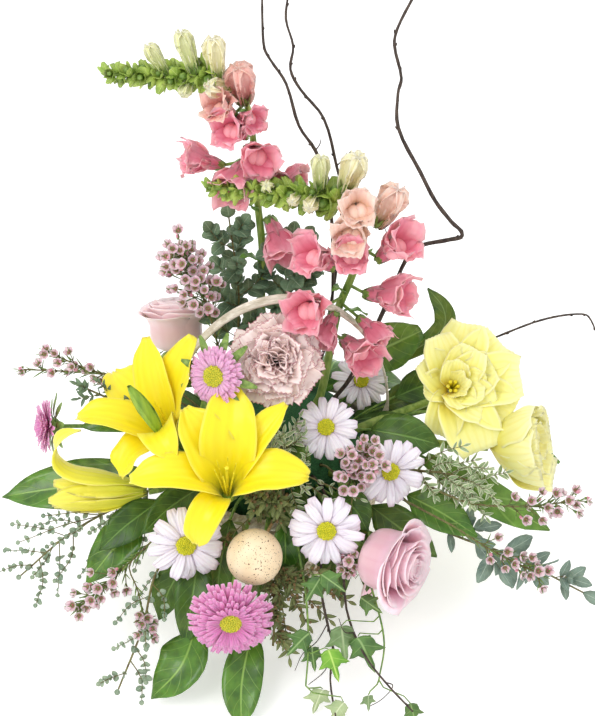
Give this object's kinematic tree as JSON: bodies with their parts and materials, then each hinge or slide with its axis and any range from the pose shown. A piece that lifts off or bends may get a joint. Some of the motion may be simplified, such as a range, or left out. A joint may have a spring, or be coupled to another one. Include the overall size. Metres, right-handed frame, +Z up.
{
  "type": "flower basket arrangement",
  "caption": "Cut flowers, foliage and curly willow set in floral foam in a small wicker basket with a hoop handle, with a speckled egg on a pick.",
  "frame": {"origin": "middle of the basket's underside, on the surface it stands on", "axes": "+Z up, -Y towards the front that the arrangement faces, +X to the right seen from the front"},
  "size_m": [0.4588, 0.3079, 0.4501],
  "materials": {
    "wicker": "matte whitewashed reed",
    "liner_plastic": "matte",
    "foam": "matte, soaked floral foam",
    "egg_shell": "satin, speckled",
    "pick_wood": "matte",
    "willow_bark": "matte",
    "lily_petal": "satin petals",
    "aster_petal": "matte petals",
    "daisy_petal": "matte petals",
    "carnation_petal": "matte petals",
    "rose_petal": "matte petals",
    "tulip_petal": "satin petals",
    "snapdragon_petal": "matte petals",
    "waxflower_petal": "matte petals",
    "broad_leaf": "satin leaf",
    "grey_leaf": "matte leaf",
    "ivy_leaf": "satin leaf"
  },
  "bodies": {
    "root": {"aster_front": "aster_petal", "aster_left": "aster_petal", "aster_middle": "aster_petal", "basket_bowl": "wicker", "basket_handle": "wicker", "basket_rim": "wicker", "carnation": "carnation_petal", "daisy_back": "daisy_petal", "daisy_front": "daisy_petal", "daisy_left": "daisy_petal", "daisy_middle": "daisy_petal", "daisy_right": "daisy_petal", "egg": "egg_shell", "egg_pick": "pick_wood", "eucalyptus_back_left": "grey_leaf", "eucalyptus_back_middle": "grey_leaf", "eucalyptus_back_right": "grey_leaf", "eucalyptus_front_left": "grey_leaf", "eucalyptus_left": "grey_leaf", "eucalyptus_low_left": "grey_leaf", "eucalyptus_right": "grey_leaf", "floral_foam": "foam", "ivy_left": "ivy_leaf", "ivy_right": "ivy_leaf", "lily_front": "lily_petal", "lily_left": "lily_petal", "lily_side": "lily_petal", "liner": "liner_plastic", "pittosporum_middle": "grey_leaf", "pittosporum_right": "grey_leaf", "rose_back": "rose_petal", "rose_front": "rose_petal", "salal_front": "broad_leaf", "salal_front_left": "broad_leaf", "salal_left": "broad_leaf", "salal_left_low": "broad_leaf", "salal_right_low": "broad_leaf", "salal_right_up": "broad_leaf", "salal_tall": "broad_leaf", "seeded_foliage_egg": "broad_leaf", "seeded_foliage_low": "broad_leaf", "snapdragon_left": "snapdragon_petal", "snapdragon_right": "snapdragon_petal", "tulip_far": "tulip_petal", "tulip_leaf_far": "broad_leaf", "tulip_leaf_near": "broad_leaf", "tulip_near": "tulip_petal", "waxflower_back": "waxflower_petal", "waxflower_far_right": "waxflower_petal", "waxflower_front_left": "waxflower_petal", "waxflower_left": "waxflower_petal", "waxflower_left_up": "waxflower_petal", "waxflower_middle": "waxflower_petal", "waxflower_right": "waxflower_petal", "willow_back_left": "willow_bark", "willow_back_right": "willow_bark", "willow_front_left": "willow_bark", "willow_front_right": "willow_bark", "willow_right": "willow_bark", "willow_tall": "willow_bark"}
  },
  "joints": []
}
